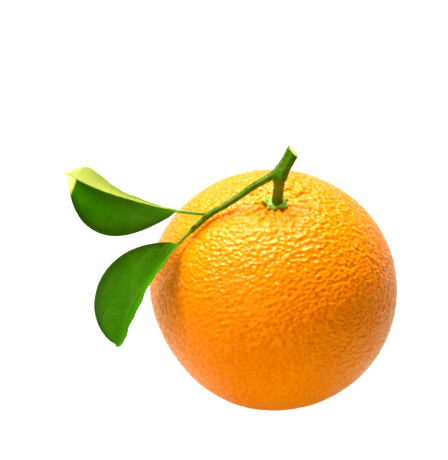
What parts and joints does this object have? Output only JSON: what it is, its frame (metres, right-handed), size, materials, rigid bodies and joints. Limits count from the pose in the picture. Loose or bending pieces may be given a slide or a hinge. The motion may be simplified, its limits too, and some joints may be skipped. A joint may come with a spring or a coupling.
{
  "type": "orange",
  "caption": "Ripe round citrus fruit resting on its blossom end, with calyx, cut stem, a side twig and folded leaves reaching to one side.",
  "frame": {"origin": "centre of the flat spot at the blossom end that the fruit rests on", "axes": "-Z is down out of the resting spot, so the stem end is up; +X is the longest extent and points away from the leaves, which reach out to -X; the lower leaf is on the -Y side"},
  "size_m": [0.1053, 0.08, 0.091],
  "materials": {
    "peel": "pebbled waxy citrus peel",
    "calyx_green": "matte, slightly fibrous",
    "green_bark": "ridged young bark, soft sheen",
    "leaf_green": "leathery and glossy above, dull below"
  },
  "bodies": {
    "root": {"fruit": "peel", "calyx": "calyx_green", "fruit_stem": "green_bark", "side_twig": "green_bark", "upper_bud": "green_bark", "lower_bud": "green_bark", "upper_leaf": "leaf_green", "lower_leaf": "leaf_green"}
  },
  "joints": []
}
